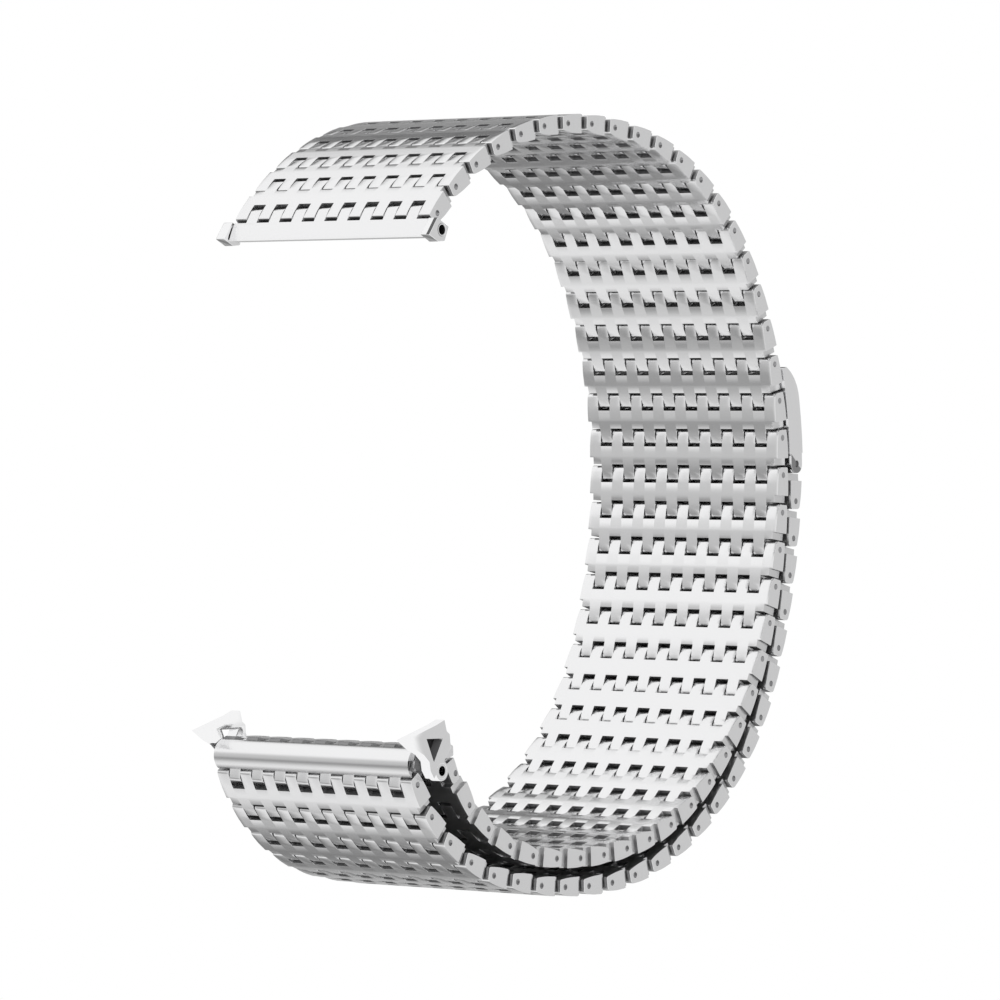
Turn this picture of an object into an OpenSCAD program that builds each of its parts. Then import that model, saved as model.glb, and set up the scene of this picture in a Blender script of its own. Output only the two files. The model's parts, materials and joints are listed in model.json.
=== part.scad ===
// Magnetic steel watch band, closed round a wrist.
// The band stands on its lower edge: Z runs across its width, X points from the
// watch side to the back of the wrist, and Y towards the twelve o'clock end.
// One chain of hinged links runs from the upper end piece round the wrist, folds
// back round the rod of the lower end piece, and ends in a magnetic clasp that
// sits on the outside of the same chain.

/* [Band] */
// Width of the band
band_w = 20; // [18:0.5:24]
// Distance between the two hinge pins of a link
pitch = 3.2; // [3:0.05:3.4]
// Thickness of a link at its middle
link_t = 1.6; // [1.4:0.05:1.6]
// Radius of the crowned faces of a link
crown_r = 10; // [8:0.5:16]
// Depth of the step at both edges of a link, beside the fingers that turn on the next pin
edge_step = 0.35; // [0.2:0.05:0.6]
// Distance from a link's own pin to that step, as a share of the pitch
edge_step_at = 0.55; // [0.5:0.01:0.6]

/* [Hinges] */
// Number of fingers at the end of a link that points away from its own pin
inner_fingers = 8; // [6:1:9]
// Space between neighbouring fingers
finger_gap = 0.1; // [0.06:0.01:0.16]
// Reach of a finger past its hinge pin
finger_reach = 0.68; // [0.66:0.01:0.74]
// Space between a finger's tip and the notch it turns in
notch_gap = 0.22; // [0.14:0.01:0.24]
// Radius of a hinge pin
pin_r = 0.28; // [0.2:0.01:0.32]
// Space round the pin in the fingers that turn on it
pin_run_gap = 0.04; // [0.02:0.01:0.08]
// Space round the pin in the fingers that hold it
pin_press_gap = 0.01; // [0.005:0.005:0.01]
// Depth of a pin's end below the edge of the band
pin_recess = 0.12; // [0.05:0.01:0.3]

/* [Loop] */
// Place of the first hinge pin, along X
first_pin_x = -23.28; // [-30:0.01:-16]
// Place of the first hinge pin, along Y
first_pin_y = 22.83; // [16:0.01:30]
// Direction of the first link
first_heading = 43.66; // [40:0.01:50]
// Hinges in each stretch of the inner layer
wrist_hinges = [5, 4, 6, 5, 5, 5, 3, 4, 3, 1, 1];
// Angle of bend at each hinge of those stretches
wrist_bend_angles = [-7.21, -4.89, -7.78, -5.56, -4.49, -6.95, -8.28, -4.45, -10.6, -16.45, -7.48];
// Angle of bend at the three hinges of the fold
fold_bend_angles = [65.5, 73.76, 48.37];
// Hinges in each stretch of the folded-back tail
tail_hinges = [1, 3, 4, 5, 5, 5];
// Angle of bend at each hinge of those stretches
tail_bend_angles = [12.8, 10.01, 3.47, 6.51, 7.12, 3.71];
// Distance between the pins of the last link before the fold
end_pitch = 2.2; // [2.1:0.02:2.4]
// Distance between the pins of the link that carries the cover
cover_pitch = 2.58; // [2.4:0.02:2.8]
// Radius of the smooth round cover on the outside of the fold
cover_r = 1.3; // [1.1:0.05:1.4]
// Place of the cover's axis along its link
cover_along = 1; // [0.8:0.02:1.1]
// Height of the cover's axis over the pins of its link
cover_out = 0.34; // [0.3:0.02:0.6]

/* [Nodes] */
// Wrist links that are single, counted from the upper end piece
single_wrist_links = 19; // [11:2:43]
// Tail links that are single, counted from the clasp
single_tail_links = 10; // [4:2:24]

/* [End pieces] */
// Thickness of a side plate
wing_t = 0.9; // [0.7:0.05:1.4]
// Space between a side plate and the edge of the band
wing_gap = 0.1; // [0.05:0.01:0.2]
// Radius of the hole for the watch's bar
bar_r = 0.4; // [0.3:0.05:0.5]
// Outside radius of the lower rod
rod_r = 0.6; // [0.55:0.05:0.8]
// Space between the lower rod and the links folded round it
rod_gap = 0.12; // [0.08:0.01:0.2]
// Outside radius of the upper sleeve
sleeve_r = 0.5; // [0.48:0.02:0.54]
// Wall round a rod or sleeve in a side plate
boss_wall = 0.2; // [0.15:0.05:0.5]
// Turn of the upper end piece against the first link
upper_bend = 20.3; // [10:0.1:30]
// Length of the upper end piece from its hinge pin to its front edge
upper_len = 2.56; // [2.54:0.02:3]
// Slant of the front edge of the upper end piece, which undercuts it
front_slant = 26; // [20:1:30]
// Distance from the hinge pin to the hole for the watch's bar
upper_bar_at = 1.5; // [1.46:0.02:1.54]
// Outline of the upper side plates, with the first hinge pin at the origin and X along the body
upper_plate_outline = [[-0.9, 0.95], [-2.6, 1.25], [-2.55, 0], [-2.1, -0.72], [-0.88, -0.66]];
// Outline of the lower side plates, with the rod at the origin: a horn, a spike and two arms
lower_plate_outline = [[-4.73, 2.52], [-3.43, 1.74], [-2.33, 1.29], [-1.63, 0.74], [-1.48, 0.04], [-0.98, -0.61],
    [-0.53, -0.03], [0.35, 0.85], [1.18, 1.78], [1.02, 2.25], [0.94, 2.88], [0.55, 3.13],
    [0.24, 4.04], [-0.85, 3.64], [-2.36, 3.2], [-3.85, 2.77]];
// Opening between the two arms
lower_plate_window = [[-1.98, 2.54], [0.02, 2.54], [-1.03, 0.74]];

/* [Clasp] */
// Thickness of the clasp
clasp_t = 1.9; // [1.8:0.05:2.4]
// Length of the clasp from its hinge pin to its tip
clasp_len = 8.5; // [8:0.1:11]
// Space between the clasp and the links it holds to
clasp_gap = 0.22; // [0.16:0.01:0.4]
// Length of the rounded tip
tip_len = 2.9; // [2:0.1:4]
// Wall of the clasp over and round its magnets
clasp_wall = 0.45; // [0.35:0.05:0.6]
// Thickness of the plate that closes the clasp
back_plate_t = 0.35; // [0.3:0.05:0.5]
// Thickness of a magnet
magnet_t = 0.85; // [0.6:0.05:1]
// Number of magnets
magnet_count = 3; // [1:1:4]

/* [Hidden] */
$fn = 48;
steel = [0.86, 0.86, 0.87];
polished = [0.93, 0.93, 0.94];
magnet_grey = [0.45, 0.45, 0.47];
fit = 0.02;

function flat(hinges, angles) = [for (k = [0:len(hinges) - 1]) for (i = [1:hinges[k]]) angles[k]];
wrist_list = flat(wrist_hinges, wrist_bend_angles);
bends = concat(wrist_list, fold_bend_angles, flat(tail_hinges, tail_bend_angles));
link_count = len(bends) + 1;
wrist_count = len(wrist_list) + 1;
fold_first = wrist_count + 1;
tail_first = wrist_count + 3;

function unit(a) = [cos(a), sin(a)];
function left_of(a) = [-sin(a), cos(a)];
function heading(i) = i <= 1 ? first_heading : heading(i - 1) + bends[i - 2];
headings = [for (i = [1:link_count]) heading(i)];
// The last wrist link and the link under the cover are shorter than the others
function link_pitch(i) = i == wrist_count ? end_pitch : i == wrist_count + 2 ? cover_pitch : pitch;
function pin_place(i) = i <= 1
    ? [first_pin_x, first_pin_y]
    : pin_place(i - 1) + link_pitch(i - 1) * unit(headings[i - 2]);
pins = [for (i = [1:link_count + 1]) pin_place(i)];

base_z = wing_t + wing_gap;
full_w = band_w + 2 * base_z;
half_t = link_t / 2;
notch = finger_reach + notch_gap;
tooth = band_w / (2 * inner_fingers + 1);

// Centre of the circle through three points
function circle_centre(a, b, c) =
    let (d = 2 * (a[0] * (b[1] - c[1]) + b[0] * (c[1] - a[1]) + c[0] * (a[1] - b[1])),
        aa = a * a, bb = b * b, cc = c * c)
    [(aa * (b[1] - c[1]) + bb * (c[1] - a[1]) + cc * (a[1] - b[1])) / d,
        (aa * (c[0] - b[0]) + bb * (a[0] - c[0]) + cc * (b[0] - a[0])) / d];

// The lower rod touches neither of the two fold links that turn the band round it
rod_offset = half_t + rod_gap + rod_r;
fold_pin = pins[fold_first];
fold_half = (headings[fold_first] - headings[fold_first - 1]) / 2;
rod_at = fold_pin + rod_offset * (left_of(headings[fold_first - 1])
    - tan(fold_half) * unit(headings[fold_first - 1]));

upper_heading = first_heading + upper_bend;
upper_bar = pins[0] - upper_bar_at * unit(upper_heading);

// The clasp is curved like the links under it
clasp_pin = pins[link_count];
clasp_centre = circle_centre(pins[18], pins[20], pins[22]);
clasp_in_r = norm(pins[20] - clasp_centre) + half_t + clasp_gap;
clasp_out_r = clasp_in_r + clasp_t;
clasp_pin_r = norm(clasp_pin - clasp_centre);
clasp_from = atan2(clasp_pin[1] - clasp_centre[1], clasp_pin[0] - clasp_centre[0]);
function clasp_angle(s) = s / clasp_pin_r * 180 / PI;

function two(i) = i < 10 ? str("0", i) : str(i);
function link_name(head, i, j) = i == j
    ? str(head, "_link_", two(i))
    : str(head, "_links_", two(i), "_", two(j));
tail_count = link_count - tail_first + 1;
paired_tail = tail_count - single_tail_links;
// Each entry: node name, first link and last link along the chain
link_groups = concat(
    [for (i = [1:single_wrist_links]) [link_name("wrist", i, i), i, i]],
    [for (i = [single_wrist_links + 1:2:wrist_count - 1]) [link_name("wrist", i, i + 1), i, i + 1]],
    [for (i = [1:2]) [link_name("fold", i, i), wrist_count + i, wrist_count + i]],
    [for (i = [1:2:paired_tail - 1])
        [link_name("tail", i, i + 1), tail_first + i - 1, tail_first + i]],
    [for (i = [paired_tail + 1:tail_count])
        [link_name("tail", i, i), tail_first + i - 1, tail_first + i - 1]]);
link_nodes = [for (g = link_groups) g[0]];

// Slots between fingers, cut from the end of a link that lies along X
module slots(count, first_z, from_x, to_x, low, high) {
    for (k = [0:count - 1])
        translate([from_x, low, first_z + 2 * tooth * k - finger_gap / 2])
            cube([to_x - from_x, high - low, tooth + finger_gap]);
}

// Fingers at the end that holds the link's own pin: the slots lie between them
module own_slots(low) {
    slots(inner_fingers, tooth, -link_t, notch, low, link_t);
}

// Fingers at the end that turns on the next link's pin
module next_slots(at_x, low) {
    slots(inner_fingers + 1, 0, at_x - notch, at_x + link_t, low, link_t);
}

module pin_bore(at_x, gap) {
    translate([at_x, 0, -1])
        cylinder(r = pin_r + gap, h = band_w + 2);
}

// Hinge pin, at the origin
module hinge_pin() {
    color(polished)
        translate([0, 0, pin_recess])
            cylinder(r = pin_r, h = band_w - 2 * pin_recess);
}

// Cylinder whose face is the crown on one side of a link, highest at X = mid_x
module crown(mid_x, side) {
    translate([mid_x, side * (crown_r - half_t), -1])
        cylinder(r = crown_r, h = band_w + 2, $fn = 96);
}

// Bar from pin to pin, its ends round about the pins and both its faces crowned
module crowned_bar(length) {
    intersection() {
        union() {
            cylinder(r = finger_reach, h = band_w);
            translate([0, -half_t, 0])
                cube([length, link_t, band_w]);
            translate([length, 0, 0])
                cylinder(r = finger_reach, h = band_w);
        }
        crown(length / 2, -1);
        crown(length / 2, 1);
    }
}

// Steps at both edges, beside the fingers that turn on the next pin
module edge_steps(length) {
    for (z = [-1, band_w - edge_step])
        translate([edge_step_at * length, -link_t, z])
            cube([length, 2 * link_t, edge_step + 1]);
}

// One link, with its own pin at the origin and the next pin at X = length
module link_plate(length) {
    difference() {
        crowned_bar(length);
        own_slots(-link_t);
        next_slots(length, -link_t);
        edge_steps(length);
        pin_bore(0, pin_press_gap);
        pin_bore(length, pin_run_gap);
    }
}

// Round cover on the outside of a link, clear of the fingers that turn on the next pin
module fold_cover() {
    difference() {
        intersection() {
            translate([cover_along, -cover_out, 0])
                cylinder(r = cover_r, h = band_w);
            translate([-link_t, -2 * link_t, -1])
                cube([3 * link_t, 2 * link_t, band_w + 2]);
        }
        translate([cover_pitch, 0, -1])
            cylinder(r = notch, h = band_w + 2);
    }
}

// The link that carries the cover: its neighbours' fingers turn under the cover
module cover_link() {
    difference() {
        union() {
            crowned_bar(cover_pitch);
            fold_cover();
        }
        own_slots(-notch);
        next_slots(cover_pitch, -notch);
        pin_bore(0, pin_press_gap);
        pin_bore(cover_pitch, pin_run_gap);
    }
}

module at_pin(i, turn) {
    translate([pins[i][0], pins[i][1], base_z])
        rotate([0, 0, turn])
            children();
}

module links(first, last) {
    for (i = [first:last])
        at_pin(i - 1, headings[i - 1]) {
            color(steel)
                if (i == wrist_count + 2) cover_link();
                else link_plate(link_pitch(i));
            hinge_pin();
        }
}

// What is cut from the front of the upper end piece: its front leans back under the outer face
module front_cut() {
    translate([-upper_len, half_t, 0])
        rotate([0, 0, front_slant])
            translate([-upper_len, -2 * upper_len, -1])
                cube([upper_len, 4 * upper_len, band_w + 2]);
}

module upper_end_body() {
    color(steel)
        at_pin(0, upper_heading)
            difference() {
                union() {
                    cylinder(r = finger_reach, h = band_w);
                    intersection() {
                        translate([-1.5 * upper_len, -half_t, 0])
                            cube([1.5 * upper_len, link_t, band_w]);
                        crown(-upper_bar_at, -1);
                        crown(-upper_bar_at, 1);
                    }
                }
                next_slots(0, -link_t);
                pin_bore(0, pin_run_gap);
                front_cut();
                translate([-upper_bar_at, 0, -1])
                    cylinder(r = sleeve_r + fit, h = band_w + 2);
            }
}

module upper_side_plate(z) {
    color(polished)
        translate([pins[0][0], pins[0][1], z])
            rotate([0, 0, upper_heading])
                difference() {
                    linear_extrude(height = wing_t) polygon(upper_plate_outline);
                    translate([-upper_bar_at, 0, -1])
                        cylinder(r = sleeve_r, h = wing_t + 2);
                }
}

module upper_bar_sleeve() {
    color(polished)
        translate([upper_bar[0], upper_bar[1], 0])
            tube(sleeve_r);
}

module tube(r) {
    difference() {
        cylinder(r = r, h = full_w);
        translate([0, 0, -1])
            cylinder(r = bar_r, h = full_w + 2);
    }
}

module lower_side_plate(z) {
    color(polished)
        translate([rod_at[0], rod_at[1], z])
            difference() {
                union() {
                    linear_extrude(height = wing_t) polygon(lower_plate_outline);
                    cylinder(r = rod_r + boss_wall, h = wing_t);
                }
                translate([0, 0, -1])
                    linear_extrude(height = wing_t + 2) polygon(lower_plate_window);
                translate([0, 0, -1])
                    cylinder(r = rod_r, h = wing_t + 2);
            }
}

module lower_rod() {
    color(polished)
        translate([rod_at[0], rod_at[1], 0])
            tube(rod_r);
}

// Sector of a ring about the clasp's centre of curvature, from s0 to s1 along the clasp
module clasp_ring(r0, r1, s0, s1, z0, z1) {
    a0 = clasp_angle(s0);
    a1 = clasp_angle(s1);
    translate([0, 0, z0])
        linear_extrude(height = z1 - z0)
            intersection() {
                difference() {
                    circle(r = r1, $fn = 360);
                    circle(r = r0, $fn = 360);
                }
                polygon([[0, 0], 2 * r1 * unit(a0), 2 * r1 * unit(a1)]);
            }
}

module in_clasp() {
    translate([clasp_centre[0], clasp_centre[1], base_z])
        rotate([0, 0, clasp_from])
            children();
}

// The outer face runs down to the tip along a cylinder
module clasp_tip_cut() {
    a = clasp_angle(clasp_len - tip_len);
    tip_r = tip_len * 1.25;
    mid = (clasp_out_r - tip_r) * unit(a);
    difference() {
        clasp_ring(clasp_in_r - 1, clasp_out_r + 1, clasp_len - tip_len, clasp_len + 2, -1, band_w + 1);
        translate([mid[0], mid[1], -2])
            cylinder(r = tip_r, h = band_w + 4, $fn = 96);
    }
}

pocket_from = notch + 0.7;
pocket_to = clasp_len - tip_len + 0.7;
pocket_side = 1.0;

module clasp_shell() {
    color(polished)
        in_clasp()
            difference() {
                union() {
                    clasp_ring(clasp_in_r, clasp_out_r, notch, clasp_len, 0, band_w);
                    translate([clasp_pin_r, 0, 0])
                        cylinder(r = half_t, h = band_w);
                    translate([clasp_pin_r - half_t, 0, 0])
                        cube([link_t, 2 * notch, band_w]);
                }
                translate([clasp_pin_r, 0, 0])
                    rotate([0, 0, 90]) {
                        own_slots(-link_t);
                        pin_bore(0, pin_press_gap);
                    }
                clasp_tip_cut();
                clasp_ring(clasp_in_r - 1, clasp_out_r - clasp_wall, pocket_from, pocket_to,
                    pocket_side, band_w - pocket_side);
            }
    in_clasp()
        translate([clasp_pin_r, 0, 0])
            hinge_pin();
}

module clasp_back_plate() {
    color(steel)
        in_clasp()
            clasp_ring(clasp_in_r, clasp_in_r + back_plate_t, pocket_from + fit, pocket_to - fit,
                pocket_side + fit, band_w - pocket_side - fit);
}

module clasp_magnets() {
    room_w = band_w - 2 * pocket_side;
    step = room_w / magnet_count;
    magnet_l = pocket_to - pocket_from - 0.6;
    mid = clasp_angle((pocket_from + pocket_to) / 2);
    color(magnet_grey)
        in_clasp()
            rotate([0, 0, mid])
                for (k = [0:magnet_count - 1])
                    translate([clasp_out_r - clasp_wall - 0.12 - magnet_t, -magnet_l / 2,
                        pocket_side + step * k + 0.15])
                        cube([magnet_t, magnet_l, step - 0.3]);
}

for (g = link_groups)
    links(g[1], g[2]);
upper_end_body();
upper_side_plate(0);  // upper_side_plate_low
upper_side_plate(full_w - wing_t);  // upper_side_plate_high
upper_bar_sleeve();
lower_side_plate(0);  // lower_side_plate_low
lower_side_plate(full_w - wing_t);  // lower_side_plate_high
lower_rod();
clasp_shell();
clasp_magnets();
clasp_back_plate();
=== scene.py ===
# Magnetic steel watch band, closed round a wrist and seen from its near edge.
import math

import bmesh
import bpy
from mathutils import Matrix, Vector
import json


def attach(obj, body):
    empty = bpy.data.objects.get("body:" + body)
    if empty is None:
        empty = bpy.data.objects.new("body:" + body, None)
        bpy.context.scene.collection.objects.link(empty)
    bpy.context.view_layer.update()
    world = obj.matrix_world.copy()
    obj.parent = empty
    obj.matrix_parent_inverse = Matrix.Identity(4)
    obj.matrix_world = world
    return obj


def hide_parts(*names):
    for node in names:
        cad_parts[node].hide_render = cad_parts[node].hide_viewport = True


mm = 0.001
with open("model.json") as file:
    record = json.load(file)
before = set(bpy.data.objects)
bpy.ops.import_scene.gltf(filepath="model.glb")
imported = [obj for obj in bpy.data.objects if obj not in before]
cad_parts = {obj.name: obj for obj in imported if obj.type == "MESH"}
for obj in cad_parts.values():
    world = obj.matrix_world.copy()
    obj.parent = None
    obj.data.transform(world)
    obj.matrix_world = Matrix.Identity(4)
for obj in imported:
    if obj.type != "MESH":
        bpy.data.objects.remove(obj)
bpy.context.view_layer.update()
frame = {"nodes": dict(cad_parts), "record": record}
scene = bpy.context.scene

# Path of the chain: pin places and headings, the same figures as in the CAD source
chain = {
    "pitch": 3.2,
    "shortPitch": 2.2,  # the last link before the fold
    "coverPitch": 2.58,  # the link that carries the round cover
    "firstPin": (-23.28, 22.83),
    "firstHeading": 43.66,
    "wristBends": [(5, -7.21), (4, -4.89), (6, -7.78), (5, -5.56), (5, -4.49), (5, -6.95),
                   (3, -8.28), (4, -4.45), (3, -10.6), (1, -16.45), (1, -7.48)],
    "foldBends": [65.5, 73.76, 48.37],
    "tailBends": [(1, 12.8), (3, 10.01), (4, 3.47), (5, 6.51), (5, 7.12), (5, 3.71)],
    "layersFrom": 12,  # first link that lies under the tail or the clasp
    # painted shade on the faces between the two layers, where shade falls in the gap
    "layerShade": 0.3,  # shade of the faces between the two layers
    "edge": 1.0,  # height of the band's far edge over the floor
    "width": 20.0,
}
# Kinds of link; a link's kind is its place in this list, and its length is the one named here
kindNames = ["plain", "short", "cover", "fold", "start", "first"]
kindLengths = {"short": "shortPitch", "cover": "coverPitch"}


def kindLength(name):
    return chain[kindLengths.get(name, "pitch")]


def chainPoints(c):
    bends = [b for n, b in c["wristBends"] for _ in range(n)]
    wrist = len(bends) + 1
    bends += c["foldBends"] + [b for n, b in c["tailBends"] for _ in range(n)]
    special = dict(zip(range(wrist - 1, wrist + 3), ["short", "fold", "cover", "start"]))
    special[0] = "first"
    kinds = [kindNames.index(special.get(n, "plain")) for n in range(len(bends) + 1)]
    lengths = [kindLength(name) for name in kindNames]
    x, y = c["firstPin"]
    turn = c["firstHeading"]
    pins, turns = [], []
    for kind, bend in zip(kinds, bends + [0.0]):
        pins.append((x, y))
        turns.append(turn)
        x += lengths[kind] * math.cos(math.radians(turn))
        y += lengths[kind] * math.sin(math.radians(turn))
        turn += bend
    return pins, turns, kinds, wrist


pins, turns, kinds, wristCount = chainPoints(chain)
linkCount = len(turns)
print("chain:", linkCount, "links,", wristCount, "of them round the wrist")


# Shader maths: a socket that can be added, subtracted, multiplied and divided
class Signal:
    def __init__(self, tree, socket):
        self.tree = tree
        self.socket = socket

    def math(self, operation, *others):
        values = dict(enumerate([self, *others]))
        return node(self.tree, "ShaderNodeMath", {"operation": operation}, values)[0]

    def swapped(self, operation, other):
        return node(self.tree, "ShaderNodeMath", {"operation": operation}, {0: other, 1: self})[0]

    def __add__(self, other):
        return self.math("ADD", other)

    def __radd__(self, other):
        return self.math("ADD", other)

    def __sub__(self, other):
        return self.math("SUBTRACT", other)

    def __rsub__(self, other):
        return self.swapped("SUBTRACT", other)

    def __mul__(self, other):
        return self.math("MULTIPLY", other)

    def __rmul__(self, other):
        return self.math("MULTIPLY", other)

    def __truediv__(self, other):
        return self.math("DIVIDE", other)


def feed(tree, socket, value):
    if isinstance(value, Signal):
        tree.links.new(value.socket, socket)
    elif value is not None:
        socket.default_value = value


def node(tree, kind, settings=None, values=None):
    made = tree.nodes.new(kind)
    for key, value in (settings or {}).items():
        setattr(made, key, value)
    for key, value in (values or {}).items():
        feed(tree, made.inputs[key], value)
    return [Signal(tree, socket) for socket in made.outputs]


def objectPlace(tree):
    return node(tree, "ShaderNodeTexCoord")[3]


def mapped(tree, value, start, end, low, high, kind="LINEAR"):
    # value from start to end becomes a value from low to high
    return node(tree, "ShaderNodeMapRange", {"interpolation_type": kind},
                {0: value, 1: start, 2: end, 3: low, 4: high})[0]


def parts(tree, vector):
    return node(tree, "ShaderNodeSeparateXYZ", {}, {0: vector})


def emptyTree(owner):
    owner.use_nodes = True
    owner.node_tree.nodes.clear()
    return owner.node_tree


# Steel: a satin and a polished finish, with painted shade: dark and dull where the "shade"
# attribute marks a crevice, a hole or a gap where shade falls
steel = {
    "satin": {"colour": (0.87, 0.87, 0.875), "roughness": 0.2, "grain": 0.05, "scale": 900.0},
    "polished": {"colour": (0.9, 0.9, 0.905), "roughness": 0.1, "grain": 0.02, "scale": 500.0},
}
# pin steel, darkened: painted shade for the recessed pin ends, which show as dark dots
pinFinish = {"colour": (0.36, 0.36, 0.365), "roughness": 0.35, "grain": 0.04, "scale": 900.0}
# painted shade: the dark, dull colour that stands in for the shade in slots, holes and gaps
paintedCreviceShade = {"colour": (0.05, 0.05, 0.052, 1.0), "roughness": 0.55}
grains = {
    "stretch": 0.04,  # the grain runs across the band
    "fine": 8.0,  # scales of the grain and of the soft clouds in it
    "cloud": 0.35,
    "cloudShare": 1.2,
    "bump": 0.06,
    "bumpDepth": 0.00002,
}


def steelMaterial(name, s):
    material = bpy.data.materials.new(name)
    tree = emptyTree(material)
    place = objectPlace(tree)
    stretched = node(tree, "ShaderNodeMapping", {},
                     {"Vector": place, "Scale": (1.0, 1.0, grains["stretch"])})[0]
    grain = node(tree, "ShaderNodeTexNoise", {},
                 {"Vector": stretched, "Scale": s["scale"] * grains["fine"], "Detail": 3.0})[0]
    cloud = node(tree, "ShaderNodeTexNoise", {},
                 {"Vector": place, "Scale": s["scale"] * grains["cloud"], "Detail": 2.0})[0]
    shade = node(tree, "ShaderNodeAttribute", {"attribute_name": "shade"})[2]
    rough = s["roughness"] + (grain - 0.5) * s["grain"]
    rough = rough + (cloud - 0.5) * (s["grain"] * grains["cloudShare"])
    rough = rough + shade * (paintedCreviceShade["roughness"] - s["roughness"])
    bump = node(tree, "ShaderNodeBump", {}, {
        "Height": grain, "Strength": grains["bump"], "Distance": grains["bumpDepth"]})[0]
    # painted shade: the base colour turns to the dark crevice colour where "shade" is high
    colour = node(tree, "ShaderNodeMix", {"data_type": "RGBA"},
                  {0: shade, 6: (*s["colour"], 1.0), 7: paintedCreviceShade["colour"]})[2]
    shader = node(tree, "ShaderNodeBsdfPrincipled", {}, {
        "Base Color": colour, "Metallic": 1.0, "Roughness": rough, "Normal": bump})[0]
    node(tree, "ShaderNodeOutputMaterial", {}, {"Surface": shader})
    return material


satinSteel = steelMaterial("satinSteel", steel["satin"])
polishedSteel = steelMaterial("polishedSteel", steel["polished"])
pinSteel = steelMaterial("pinSteel", pinFinish)

# Side plates: polished, the lower pair with leaning normals as if its outer corner,
# the far plate and the narrow faces were turned to the light
plate = {
    "flatAt": -24.6,  # X where the lean of the outer corner starts, and where it is full
    "domedAt": -27.2,
    "farFrom": 15.0,  # Z above which the far plate's lean is gone, and below which it is full
    "farTo": 5.0,
    "tilt": 0.55,
    "edgeTilt": 2.5,  # lean of the narrow faces, and its share along X and Z
    "edgeShares": (-0.5, 0.86),
    "facesUp": 0.9,  # a normal with more than this along Z is a side face, not a narrow one
}


def plateMaterial():
    material = steelMaterial("plateSteel", steel["polished"])
    tree = material.node_tree
    shader = next(n for n in tree.nodes if n.type == "BSDF_PRINCIPLED")
    x, y, z = parts(tree, objectPlace(tree))
    corner = mapped(tree, x, plate["domedAt"] * mm, plate["flatAt"] * mm, 1.0, 0.0)
    far = mapped(tree, z, plate["farTo"] * mm, plate["farFrom"] * mm, 1.0, 0.0)
    facing = node(tree, "ShaderNodeNewGeometry")[1]
    flat = parts(tree, facing)[2].math("GREATER_THAN", plate["facesUp"])
    lower = y.math("LESS_THAN", 0.0)
    edge = (1.0 - flat) * lower * plate["edgeTilt"]
    lean = corner.math("MAXIMUM", far) * lower * flat * -plate["tilt"]
    shareX, shareZ = plate["edgeShares"]
    tilt = node(tree, "ShaderNodeCombineXYZ", {}, {0: lean + edge * shareX, 2: edge * shareZ})[0]
    leaning = node(tree, "ShaderNodeVectorMath", {"operation": "ADD"}, {0: facing, 1: tilt})[0]
    leaning = node(tree, "ShaderNodeVectorMath", {"operation": "NORMALIZE"}, {0: leaning})[0]
    tree.links.new(leaning.socket, shader.inputs["Normal"])
    return material


plateSteel = plateMaterial()
print("materials: satin, polished, plate and pin steel")


# Meshes and objects: the steps that every piece repeats
def meshData(name, mesh):
    data = bpy.data.meshes.new(name)
    mesh.to_mesh(data)
    mesh.free()
    return data


def placed(name, data):
    made = bpy.data.objects.new(name, data)
    scene.collection.objects.link(made)
    return made


def flatten(thing):
    # the object's modifiers are applied, and its old mesh goes if nothing else uses it
    view = bpy.context.evaluated_depsgraph_get()
    data = bpy.data.meshes.new_from_object(thing.evaluated_get(view), depsgraph=view)
    thing.modifiers.clear()
    old = thing.data
    thing.data = data
    if old.users == 0:
        bpy.data.meshes.remove(old)


def smooth(data, sharpFrom):
    for face in data.polygons:
        face.use_smooth = True
    data.set_sharp_from_angle(angle=math.radians(sharpFrom))


def storeOnFaces(data, name, values):
    data.attributes.new(name, "FLOAT", "FACE").data.foreach_set("value", values)


# Link: a crowned plate with nine fingers at its own pin and eight at the next
link = {
    "thickness": 1.6,
    "crown": 10.0,  # radius of the crowned -Y faces
    "overCrown": 13.0,  # and of the flatter +Y faces
    "lean": 0.02,  # the slots are narrower by this at the +Y face
    # painted shade, from 0 to 1, on the walls inside slots, holes and steps, where shade falls
    "tipWall": 0.85,  # shade of the end walls of the nine fingers
    "ownWall": 0.85,  # of the bottoms of the slots between them
    "nextWall": 0.85,  # and of the same walls at the next pin
    "edgeWall": 0.6,  # shade of these walls at the band's edges
    "holeWall": 0.6,
    "sideWall": 0.15,  # shade of the walls along the band
    "ownTip": 0.67,  # reach of the nine fingers past the link's own pin
    "nextTip": 0.58,  # reach of the eight fingers past the next pin
    "ownSlot": 0.77,  # from a pin to the bottom of the slots beside it
    "nextSlot": 0.85,
    "outerRound": 0.12,  # rounding of the finger tips on the +Y face
    "innerRound": 0.26,  # and on the -Y face, which looks at the wrist
    "under": 1.0,  # share of the depth under the middle plane that is kept
    "tipStations": (0.0, 0.02, 0.05, 0.09, 0.13, 0.19, 0.27),  # from a finger tip inwards
    "ownStations": (-0.1, 0.35),  # from the link's own pin
    "nextStations": (-0.4, 0.05),  # and from the next one
    "fingers": 8,
    "fingerGap": 0.07,
    "stepAt": 0.55,  # start of the step at both edges, as a share of the pitch
    "stepDepth": 0.36,
    "bevel": 0.03,
    "pinHole": 0.25,
    "pinRecess": 0.14,
    "holeDepth": 0.5,
    "roundSides": 24,
    "sharpFrom": 38,  # edges under this angle are shaded smooth
}


def crownHeight(k, u, pitch, radius):
    return k["thickness"] / 2 - (u - pitch / 2) ** 2 / (2 * radius)


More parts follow.
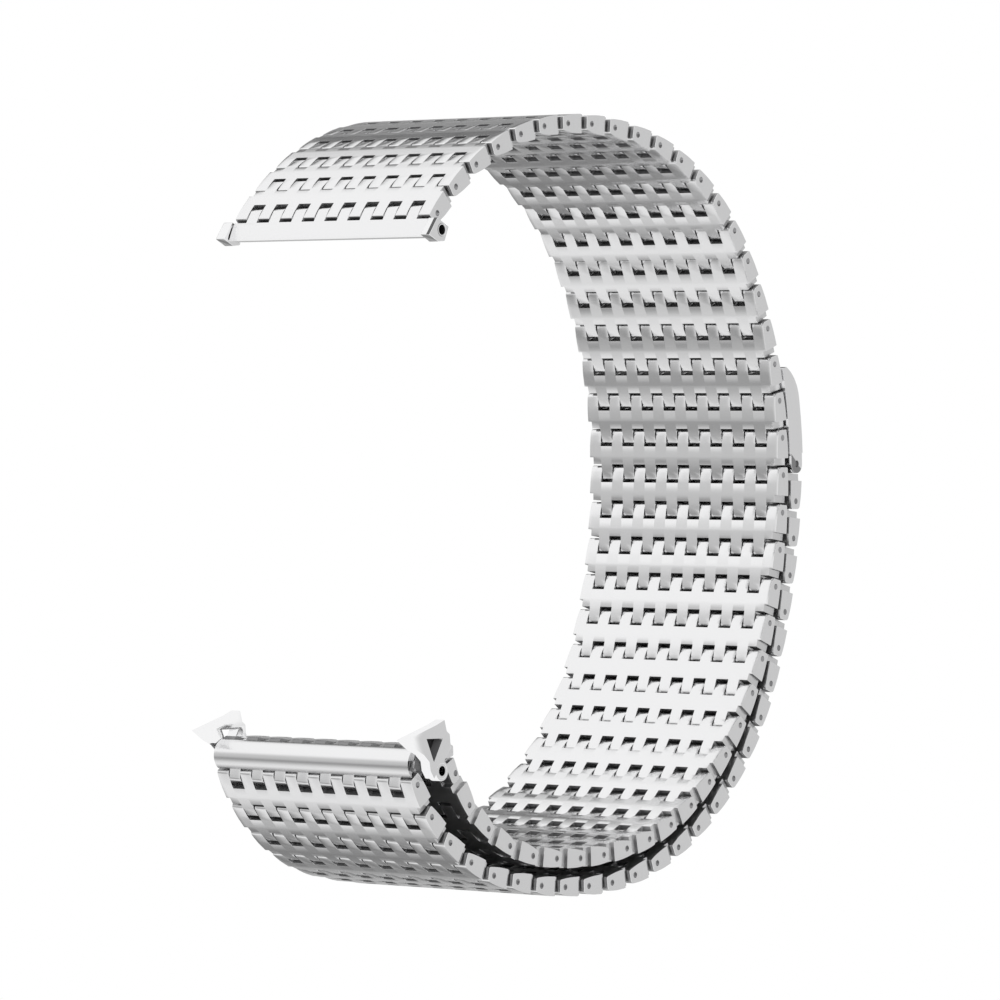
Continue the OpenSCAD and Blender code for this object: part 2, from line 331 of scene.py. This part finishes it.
def linkProfile(k, pitch):
    # (u, height over the middle, depth under it) stations from one finger tip to the other
    low, high = -k["ownTip"], pitch + k["nextTip"]
    places = [low + r for r in k["tipStations"]] + [high - r for r in k["tipStations"]]
    places += [*k["ownStations"], *(pitch + r for r in k["nextStations"])]
    places += [k["ownSlot"], k["stepAt"] * pitch, pitch / 2, pitch - k["nextSlot"]]

    def height(u, r, radius):
        drop = 0.0
        inside = min(u - low, high - u)
        if inside < r:
            drop = r - math.sqrt(max(r * r - (r - inside) ** 2, 0.0))
        return crownHeight(k, u, pitch, radius) - drop

    return [(u, height(u, k["outerRound"], k["overCrown"]),
             k["under"] * height(u, k["innerRound"], k["crown"]))
            for u in sorted(set(round(u, 5) for u in places))]


def toothWidth(k, width):
    return width / (2 * k["fingers"] + 1)


def linkFilled(k, u, z, width, pitch):
    tooth = toothWidth(k, width)
    cell = int(z / tooth)
    inside = z - cell * tooth
    clear = k["fingerGap"] / 2
    if u < k["ownSlot"]:
        low = inside > clear or cell == 0
        high = inside < tooth - clear or cell == 2 * k["fingers"]
        return cell % 2 == 0 and low and high
    if u > pitch - k["nextSlot"]:
        return cell % 2 == 1 and clear < inside < tooth - clear
    if u > k["stepAt"] * pitch:
        return min(z, width - z) > k["stepDepth"]
    return True


def linkMesh(k, pitch, width):
    profile = linkProfile(k, pitch)
    tooth = toothWidth(k, width)
    clear = k["fingerGap"] / 2
    near = 0.01
    levels = {0.0, width, k["stepDepth"], width - k["stepDepth"]}
    for n in range(1, 2 * k["fingers"] + 1):
        levels |= {n * tooth - clear, n * tooth + clear}
    levels = sorted(levels)
    mesh = bmesh.new()
    known = {}

    def corner(i, side, j):
        key = (i, side, j)
        if key not in known:
            u, over, beneath = profile[i]
            if side > 0 and u < k["ownSlot"] + near:
                u -= k["lean"]
            elif side > 0 and u > pitch - k["nextSlot"] - near:
                u += k["lean"]
            known[key] = mesh.verts.new((u, over if side > 0 else -beneath, levels[j]))
        return known[key]

    def filled(i, j):
        if i < 0 or j < 0 or i >= len(profile) - 1 or j >= len(levels) - 1:
            return False
        u = (profile[i][0] + profile[i + 1][0]) / 2
        z = (levels[j] + levels[j + 1]) / 2
        return linkFilled(k, u, z, width, pitch)

    for i in range(len(profile) - 1):
        for j in range(len(levels) - 1):
            if not filled(i, j):
                continue
            mesh.faces.new([corner(i, 1, j), corner(i, 1, j + 1), corner(i + 1, 1, j + 1),
                            corner(i + 1, 1, j)])
            mesh.faces.new([corner(i, -1, j), corner(i + 1, -1, j), corner(i + 1, -1, j + 1),
                            corner(i, -1, j + 1)])
            walls = [((i - 1, j), (i, j), (i, j + 1)), ((i + 1, j), (i + 1, j + 1), (i + 1, j)),
                     ((i, j - 1), (i + 1, j), (i, j)), ((i, j + 1), (i, j + 1), (i + 1, j + 1))]
            for beside, a, b in walls:
                if not filled(*beside):
                    mesh.faces.new([corner(a[0], 1, a[1]), corner(a[0], -1, a[1]),
                                    corner(b[0], -1, b[1]), corner(b[0], 1, b[1])])
    bmesh.ops.recalc_face_normals(mesh, faces=mesh.faces)
    return meshData("linkTemplate", mesh)


# Round cover over the outside of the link in the fold, hollow at its ends
cover = {
    "radius": 1.3,
    "along": 1.0,  # place of its axis along the link
    "out": 0.34,  # and below the link's middle plane
    "shellAt": -0.92,  # the neighbours' fingers turn over this plane
    "rim": 0.13,
    "endDepth": 0.5,
    "bevel": 0.05,
    "steps": 28,
    "endAngle": 21.6,  # where the round face ends, before the next pin's slots
    "lip": 0.26,  # reach of that end past the slots' bottom
    "hollowAt": -0.5,  # plane inside the link down to which the cover reaches
    "hollowSteps": (0.03, 0.1),
    # painted shade in the cover's hollow ends, and the most painted shade that its other faces may
    # get
    "endShade": 0.8,
    "endReach": 0.1,
    "mostShade": 0.3,  # of all its other faces
}


def coverMesh(c, k, pitch, width):
    r, mid, out = c["radius"], c["along"], c["out"]
    shell, hollow = c["shellAt"], c["hollowAt"]
    start = math.asin((-shell - out) / r)
    sweep = math.pi - start - math.radians(c["endAngle"])
    angles = [start + sweep * n / c["steps"] for n in range(c["steps"] + 1)]
    arc = [(mid - r * math.cos(a), -out - r * math.sin(a)) for a in angles]
    own, after = k["ownSlot"], pitch - k["nextSlot"]
    step, inside = c["hollowSteps"]
    inner = [(after + c["lip"], shell), (after - step, shell), (after - inside, hollow),
             (own + inside, hollow), (own + step, shell)]
    mesh = bmesh.new()
    low = [mesh.verts.new((u, v, 0.0)) for u, v in arc + inner]
    high = [mesh.verts.new((u, v, width)) for u, v in arc + inner]
    count = len(low)
    for n in range(count):
        mesh.faces.new([low[n], low[(n + 1) % count], high[(n + 1) % count], high[n]])
    caps = [mesh.faces.new(low), mesh.faces.new(high)]
    bmesh.ops.recalc_face_normals(mesh, faces=mesh.faces)
    for cap in caps:
        bmesh.ops.inset_region(mesh, faces=[cap], thickness=c["rim"], depth=0.0)
        bmesh.ops.translate(mesh, verts=cap.verts, vec=-c["endDepth"] * cap.normal)
    return meshData("cover", mesh)


# Bevels: two segments on every edge that is sharper than this
bevels = {"segments": 2, "fromAngle": 40}


def bevelled(name, data, width):
    made = placed(name, data)
    bevel = made.modifiers.new("edges", "BEVEL")
    bevel.width = width
    bevel.segments = bevels["segments"]
    bevel.limit_method = "ANGLE"
    bevel.angle_limit = math.radians(bevels["fromAngle"])
    bevel.miter_outer = "MITER_SHARP"
    flatten(made)
    return made


def joined(made, other, operation):
    change = made.modifiers.new("change", "BOOLEAN")
    change.object = other
    change.operation = operation
    change.solver = "EXACT"
    flatten(made)
    bpy.data.objects.remove(other)


# How a face of a link is told by its normal and its place
marks = {"notFlat": 0.5, "across": 0.7, "atEdge": 0.02, "aroundHole": 0.02, "up": 0.45, "tip": -0.1}


def markFaces(data, k, pitch, width, covered):
    # painted shade: "shade" is high on the walls inside slots and holes and on the cover's hollow
    # ends and tips; "topSide" is 1 on the faces towards +Y, which get the painted shade between the
    # layers
    tooth = toothWidth(k, width)
    holeReach = k["pinHole"] + marks["aroundHole"]
    shade, top = [], []
    for face in data.polygons:
        n, c = face.normal, face.center
        side = min(c.z, width - c.z)
        hole = min(math.hypot(c.x, c.y), math.hypot(c.x - pitch, c.y)) < holeReach
        value = 0.0
        if abs(n.y) < marks["notFlat"] and side > marks["atEdge"]:
            value = k["sideWall"]
            if abs(n.x) > marks["across"]:
                value = k["nextWall"] if c.x > pitch / 2 else k["ownWall"]
                value = k["tipWall"] if c.x < 0.0 else value
                value = value if side > tooth else k["edgeWall"]
            if hole:
                value = k["holeWall"]
        # painted shade on the cover link: dark in its hollow ends and on its own finger tips
        if covered:
            reach = math.hypot(c.x - cover["along"], c.y + cover["out"])
            ends = abs(n.z) > marks["across"] and side < cover["endDepth"] + cover["endReach"]
            value = min(value, cover["mostShade"])
            if ends and reach < cover["radius"] - cover["rim"]:
                value = cover["endShade"]
            if c.x < marks["tip"]:
                value = k["tipWall"]
        shade.append(value)
        top.append(1.0 if n.y > marks["up"] else 0.0)
    storeOnFaces(data, "shade", shade)
    storeOnFaces(data, "topSide", top)


def linkTemplate(name, kind):
    pitch, width = kindLength(kind), chain["width"]
    covered = kind == "cover"
    k = {**link, **kindChanges.get(kind, {})}
    made = bevelled(name, linkMesh(k, pitch, width), link["bevel"])
    if covered:
        shell = bevelled("cover", coverMesh(cover, link, pitch, width), cover["bevel"])
        joined(made, shell, "UNION")
    drill = bmesh.new()
    for z in (0.0, width):
        bmesh.ops.create_cone(drill, cap_ends=True, segments=link["roundSides"],
                              radius1=link["pinHole"], radius2=link["pinHole"],
                              depth=2 * link["holeDepth"], matrix=Matrix.Translation((0.0, 0.0, z)))
    joined(made, placed("drill", meshData("drill", drill)), "DIFFERENCE")
    markFaces(made.data, k, pitch, width, covered)
    smooth(made.data, link["sharpFrom"])
    made.data.transform(Matrix.Scale(mm, 4))
    print(name + ":", len(made.data.polygons), "faces")
    return made


# What some kinds of link change, mostly so that their fingers stay under the round cover, and how
# much painted shade their walls get
kindChanges = {
    "short": {"nextTip": 0.12, "innerRound": 0.3, "outerRound": 0.28, "under": 0.45},
    "cover": {"nextWall": 0.3, "ownTip": 0.52, "tipWall": 0.7},
    "fold": {"under": 0.5},
    "start": {"ownTip": 0.75, "tipWall": 0.15, "innerRound": 0.2},
    "first": {"ownTip": 0.8, "ownSlot": 0.72},
}
templates = {kind: linkTemplate(kind + "Link", kind) for kind in kindNames}


# Chain: one tree puts the link and its pin at every pin place between two numbers
pin = {"wider": 0.02}  # the pin fills its hole and a little of the steel round it
treeInputs = [
    ("path", "Path", "Geometry", None),
    ("plain", "Link", "Object", None),
    ("short", "Short link", "Object", None),
    ("cover", "Cover link", "Object", None),
    ("fold", "Fold link", "Object", None),
    ("start", "First tail link", "Object", None),
    ("first", "First wrist link", "Object", None),
    ("from", "First link's number", "Int", 0),
    ("to", "Last link's number", "Int", 0),
    ("gapShade", "Shade between the layers", "Float", 0.0),
    ("pinRadius", "Pin radius", "Float", 0.00025),
    ("pinLength", "Pin length", "Float", 0.0195),
    ("pinRise", "Pin rise", "Float", 0.01),
    ("linkFinish", "Link finish", "Material", None),
    ("pinFinish", "Pin finish", "Material", None),
]


def treeInput(tree, name, kind, default):
    made = tree.interface.new_socket(name=name, in_out="INPUT", socket_type="NodeSocket" + kind)
    if default is not None:
        made.default_value = default
    return made.identifier


def compared(tree, operation, first, second):
    return node(tree, "FunctionNodeCompare", {"data_type": "INT", "operation": operation},
                {2: first, 3: second})[0]


def stored(tree, name, kind):
    return node(tree, "GeometryNodeInputNamedAttribute", {"data_type": kind}, {"Name": name})[0]


def realized(tree, instances):
    return node(tree, "GeometryNodeRealizeInstances", {}, {"Geometry": instances})[0]


def finished(tree, geometry, material):
    return node(tree, "GeometryNodeSetMaterial", {},
                {"Geometry": geometry, "Material": material})[0]


def together(tree, pieces):
    join = tree.nodes.new("GeometryNodeJoinGeometry")
    for piece in pieces:
        tree.links.new(piece.socket, join.inputs[0])
    return Signal(tree, join.outputs[0])


def chainTree():
    tree = bpy.data.node_groups.new("chainLinks", "GeometryNodeTree")
    names = {key: treeInput(tree, *settings) for key, *settings in treeInputs}
    tree.interface.new_socket(name="Links", in_out="OUTPUT", socket_type="NodeSocketGeometry")
    given = dict(zip(names, node(tree, "NodeGroupInput")))
    order = node(tree, "GeometryNodeInputIndex")[0]
    below = compared(tree, "LESS_THAN", order, given["from"])
    above = compared(tree, "GREATER_THAN", order, given["to"])
    outside = node(tree, "FunctionNodeBooleanMath", {"operation": "OR"}, {0: below, 1: above})[0]
    stretch = node(tree, "GeometryNodeDeleteGeometry", {"domain": "POINT"},
                   {"Geometry": given["path"], "Selection": outside})[0]
    kind = stored(tree, "kind", "INT")
    rotation = node(tree, "ShaderNodeCombineXYZ", {}, {"Z": stored(tree, "turn", "FLOAT")})[0]
    shapes = []
    for number, name in enumerate(kindNames):
        shape = node(tree, "GeometryNodeObjectInfo", {}, {"Object": given[name]})[4]
        chosen = compared(tree, "EQUAL", kind, number)
        shapes.append(node(tree, "GeometryNodeInstanceOnPoints", {}, {
            "Points": stretch, "Selection": chosen, "Instance": shape, "Rotation": rotation})[0])
    links = realized(tree, together(tree, shapes))
    # painted shade between the layers, on the +Y faces, joins the painted shade of slots and holes
    gap = stored(tree, "topSide", "FLOAT") * given["gapShade"]
    darker = stored(tree, "shade", "FLOAT").math("MAXIMUM", gap)
    links = node(tree, "GeometryNodeStoreNamedAttribute", {"data_type": "FLOAT", "domain": "FACE"},
                 {"Geometry": links, "Name": "shade", "Value": darker})[0]
    links = finished(tree, links, given["linkFinish"])
    rod = node(tree, "GeometryNodeMeshCylinder", {}, {
        "Vertices": link["roundSides"], "Radius": given["pinRadius"],
        "Depth": given["pinLength"]})[0]
    lift = node(tree, "ShaderNodeCombineXYZ", {}, {"Z": given["pinRise"]})[0]
    rod = node(tree, "GeometryNodeTransform", {}, {"Geometry": rod, "Translation": lift})[0]
    rods = node(tree, "GeometryNodeInstanceOnPoints", {}, {"Points": stretch, "Instance": rod})[0]
    rods = finished(tree, realized(tree, rods), given["pinFinish"])
    node(tree, "NodeGroupOutput", {}, {0: together(tree, [rods, links])})
    return tree, names


def pathMesh():
    data = bpy.data.meshes.new("chainPath")
    data.from_pydata([(x * mm, y * mm, chain["edge"] * mm) for x, y in pins], [], [])
    turn = data.attributes.new("turn", "FLOAT", "POINT")
    turn.data.foreach_set("value", [math.radians(t) for t in turns])
    kind = data.attributes.new("kind", "INT", "POINT")
    kind.data.foreach_set("value", kinds)
    return data


def linkRange(name):
    # "wrist_links_20_21" stands for wrist links 20 and 21
    words = name.split("_")
    start = {"wrist": 0, "fold": wristCount, "tail": wristCount + 2}[words[0]]
    numbers = [int(w) for w in words[2:]]
    return start + numbers[0] - 1, start + numbers[-1] - 1


def linkPiece(name, path, tree, names):
    words = name.split("_")
    piece = placed(words[0] + "Link" + "".join(words[2:]), path)
    layer = piece.modifiers.new("links", "NODES")
    layer.node_group = tree
    first, last = linkRange(name)
    settings = {
        **templates,
        "from": first,
        "to": last,
        "gapShade": chain["layerShade"] if last >= chain["layersFrom"] else 0.0,
        "pinRadius": (link["pinHole"] + pin["wider"]) * mm,
        "pinLength": (chain["width"] - 2 * link["pinRecess"]) * mm,
        "pinRise": chain["width"] / 2 * mm,
        "linkFinish": satinSteel,
        "pinFinish": pinSteel,
    }
    for key, value in settings.items():
        layer[names[key]] = value
    piece.modifiers.new("shading", "WEIGHTED_NORMAL").keep_sharp = True
    flatten(piece)
    piece.data.name = piece.name
    return piece


def membersOf(linked):
    # the nodes that are links, or the ones that aren't, each with its body
    for body, members in sorted(frame["record"]["behaviour"]["bodies"].items()):
        for name in members:
            if ("_link" in name) == linked:
                yield body, name


def makeChain():
    tree, names = chainTree()
    path = pathMesh()
    path.use_fake_user = True
    made = 0
    for body, name in membersOf(linked=True):
        piece = linkPiece(name, path, tree, names)
        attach(piece, body)
        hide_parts(name)
        made += 1
    bpy.data.meshes.remove(path)
    return made


print("chain pieces:", makeChain())
for template in templates.values():
    bpy.data.objects.remove(template)

# End pieces and clasp: the solids with their edges broken
solid = {
    "bevel": 0.07,  # of the side plates, and of the other solids
    "fine": 0.03,
    "flat": 0.2,  # faces that differ by less than this angle are made one
    "doubles": 0.001,  # and corners that are closer than this are made one
    "sharpFrom": 34,
    "walls": 0.9,  # a face whose normal has less than this along Z is a wall
    # painted shade: in the bores of the upper pieces, along the upper plate's outer edge and on the
    # pin at the clasp
    "boreReach": 0.62,
    "boreShade": 0.9,
    "edgeFrom": 21.68,  # height from which the upper plate's outer edge is dark
    "edgeLean": 0.3,
    "edgeShade": 0.9,
    "pinReach": 0.3,
    "pinShade": 0.7,
}
# Painted shadow in the opening of the near lower plate: a thin dark panel, its corners seen from
# the lower bar's bore, and two heights
openingShadowPanel = {
    "corners": [(-2.06, 2.6), (0.1, 2.6), (-1.03, 0.64)],
    "levels": (21.08, 21.2),
    "middle": (-1.0, 1.94),
    # painted shade on the opening's walls, as dark as the panel
    "reach": 0.75,  # walls within this reach of the middle are dark, as the panel is
    "shade": 0.95,
}


def borePlace(name):
    return next(mount["pos_m"] for mount in frame["record"]["mounts"] if mount["name"] == name)


def withShadowPanel(data):
    # the opening between the arms of the near lower plate gets a thin dark panel behind it, a
    # painted shadow
    bore = borePlace("lower_bar_bore")
    mesh = bmesh.new()
    mesh.from_mesh(data)
    low, high = [[mesh.verts.new((bore[0] + x * mm, bore[1] + y * mm, z * mm))
                  for x, y in openingShadowPanel["corners"]] for z in openingShadowPanel["levels"]]
    made = [mesh.faces.new(low), mesh.faces.new(high)]
    count = len(low)
    for n in range(count):
        after = (n + 1) % count
        made.append(mesh.faces.new([low[n], low[after], high[after], high[n]]))
    bmesh.ops.recalc_face_normals(mesh, faces=made)
    return meshData(data.name, mesh)


def shadeSolid(name, data):
    # painted shade: walls of a bore are dark, and so are the broken outer edge of an upper side
    # plate, the pin at the clasp and the panel and walls in the opening of the near lower plate
    upper = name.startswith("upper")
    bore = borePlace("upper_bar_bore" if upper else "lower_bar_bore")
    boreX, boreY = bore[0] / mm, bore[1] / mm
    lastTurn = math.radians(turns[-1])
    pinX = pins[-1][0] + chain["pitch"] * math.cos(lastTurn)
    pinY = pins[-1][1] + chain["pitch"] * math.sin(lastTurn)
    middleX, middleY = openingShadowPanel["middle"]
    values = []
    for face in data.polygons:
        n, x, y, z = face.normal, *(v / mm for v in face.center)
        wall = abs(n.z) < solid["walls"]
        value = 0.0
        if math.hypot(x - pinX, y - pinY) < solid["pinReach"]:
            value = solid["pinShade"]
        if upper and math.hypot(x - boreX, y - boreY) < solid["boreReach"]:
            value = solid["boreShade"] if wall else 0.0
        outer = wall and n.y - n.x > solid["edgeLean"] and z > solid["edgeFrom"]
        if name == "upper_side_plate_high" and outer:
            value = solid["edgeShade"]
        if name == "lower_side_plate_high":
            away = math.hypot(x - boreX - middleX, y - boreY - middleY)
            if away < openingShadowPanel["reach"] and (wall or len(face.vertices) == 3):
                value = openingShadowPanel["shade"]
        values.append(value)
    storeOnFaces(data, "shade", values)


def softened(name, carried):
    mesh = bmesh.new()
    mesh.from_mesh(carried.data)
    bmesh.ops.remove_doubles(mesh, verts=mesh.verts, dist=solid["doubles"] * mm)
    bmesh.ops.dissolve_limit(mesh, angle_limit=math.radians(solid["flat"]), verts=mesh.verts,
                             edges=mesh.edges)
    if name == "upper_side_plate_high":
        bmesh.ops.bisect_plane(mesh, geom=mesh.verts[:] + mesh.edges[:] + mesh.faces[:],
                               plane_co=(0.0, 0.0, solid["edgeFrom"] * mm),
                               plane_no=(0.0, 0.0, 1.0))
    data = meshData(name, mesh)
    words = name.split("_")
    title = words[0] + "".join(w.capitalize() for w in words[1:])
    if "rod" in name or "sleeve" in name:
        piece = placed(title, data)
    else:
        piece = bevelled(title, data, (solid["bevel"] if "plate" in name else solid["fine"]) * mm)
    if name == "lower_side_plate_high":
        # painted shadow: the dark panel in the opening
        piece.data = withShadowPanel(piece.data)
    shadeSolid(name, piece.data)
    smooth(piece.data, solid["sharpFrom"])
    finish = satinSteel if "body" in name or "back" in name else polishedSteel
    piece.data.materials.clear()
    piece.data.materials.append(plateSteel if "side_plate" in name else finish)
    return piece


for body, name in membersOf(linked=False):
    piece = softened(name, frame["nodes"][name])
    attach(piece, body)
    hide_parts(name)
print("end pieces and clasp: bevelled")


# Light: a white room with soft grey cards, which the steel reflects. They are fitted so that
# each part of the band is about as light as in the photo.
room = {
    # each card's place round the room in degrees, its half width, and how much light it takes
    "cards": [(5, 80, 0.5), (32, 37, 0.52), (44, 9, 1.0), (174, 23, 0.4), (202, 30, 0.66),
              (225, 37, 0.25), (270, 30, 0.23), (303, 56, 0.77)],
    "highCard": 0.64,  # light of the large card beyond the band, overhead
    "beyond": (0.79, 0.61),  # direction to its middle, along X and Z
    "edges": (0.55, 0.95),  # its soft edge, as the cosine to its middle
    "rise": (-0.45, 0.0),  # below this height there are only the cards, above it only the large one
}


def cardShadow(angle, place, reach, depth):
    # angle counts turns round the room: full depth in the card's middle, nothing at its edge
    apart = ((angle - place / 360 + 0.5).math("FRACT") - 0.5).math("ABSOLUTE")
    return mapped(angle.tree, apart, 0.0, reach / 360, depth, 0.0, "SMOOTHSTEP")


def grey(tree, level):
    return node(tree, "ShaderNodeCombineColor", {}, {0: level, 1: level, 2: level})[0]


def makeRoom():
    world = bpy.data.worlds.new("room")
    scene.world = world
    tree = emptyTree(world)
    x, y, z = parts(tree, node(tree, "ShaderNodeTexCoord")[0])
    angle = y.math("ARCTAN2", x) / (2 * math.pi)
    light = 1.0
    for card in room["cards"]:
        light = light * (1.0 - cardShadow(angle, *card))
    aheadX, aheadZ = room["beyond"]
    near = x * aheadX + z * aheadZ
    patch = mapped(tree, near, *room["edges"], 1.0, room["highCard"], "SMOOTHSTEP")
    rise = mapped(tree, z, *room["rise"], 0.0, 1.0, "SMOOTHSTEP")
    level = node(tree, "ShaderNodeMix", {"data_type": "RGBA"},
                 {0: rise, 6: grey(tree, light), 7: grey(tree, patch)})[2]
    seen = node(tree, "ShaderNodeLightPath")[0]
    white = node(tree, "ShaderNodeMix", {"data_type": "RGBA"},
                 {0: seen, 6: level, 7: (1.0, 1.0, 1.0, 1.0)})[2]
    shader = node(tree, "ShaderNodeBackground", {}, {0: white, 1: 1.0})[0]
    node(tree, "ShaderNodeOutputWorld", {}, {0: shader})


makeRoom()

# Camera: the place fitted to the photo's pins and slots
camera = {"aim": (-1.78, 0.33, 11.0), "away": 465.808, "down": 37.7082, "roll": 0.7954,
          "lens": 202.488, "sensor": 36.0, "clip": (0.01, 10.0)}


def makeCamera():
    dip = math.radians(camera["down"])
    ahead = Vector((math.cos(dip), 0.0, -math.sin(dip)))
    right = Vector((math.sin(dip), 0.0, math.cos(dip)))
    up = Vector((0.0, 1.0, 0.0))
    roll = math.radians(camera["roll"])
    right, up = (math.cos(roll) * right + math.sin(roll) * up,
                 -math.sin(roll) * right + math.cos(roll) * up)
    data = bpy.data.cameras.new("view")
    data.lens = camera["lens"]
    data.sensor_width = camera["sensor"]
    data.clip_start, data.clip_end = camera["clip"]
    eye = placed("view", data)
    place = (Vector(camera["aim"]) - camera["away"] * ahead) * mm
    turned = Matrix((right, up, -ahead)).transposed().to_4x4()
    eye.matrix_world = Matrix.Translation(place) @ turned
    scene.camera = eye


makeCamera()
scene.view_settings.view_transform = "Standard"

# Floor: white, just under the band, and clear to everything but the camera
ground = {"half": 3.0, "height": -0.0005}


def makeFloor():
    half, height = ground["half"], ground["height"]
    data = bpy.data.meshes.new("floor")
    corners = [(-half, -half), (half, -half), (half, half), (-half, half)]
    data.from_pydata([(x, y, height) for x, y in corners], [], [(0, 1, 2, 3)])
    material = bpy.data.materials.new("floorWhite")
    tree = emptyTree(material)
    glow = node(tree, "ShaderNodeEmission", {}, {0: (1.0, 1.0, 1.0, 1.0), 1: 1.0})[0]
    clear = node(tree, "ShaderNodeBsdfTransparent")[0]
    seen = node(tree, "ShaderNodeLightPath")[0]
    mixed = node(tree, "ShaderNodeMixShader", {}, {0: seen, 1: clear, 2: glow})[0]
    node(tree, "ShaderNodeOutputMaterial", {}, {0: mixed})
    data.materials.append(material)
    return placed("floor", data)


floor = makeFloor()
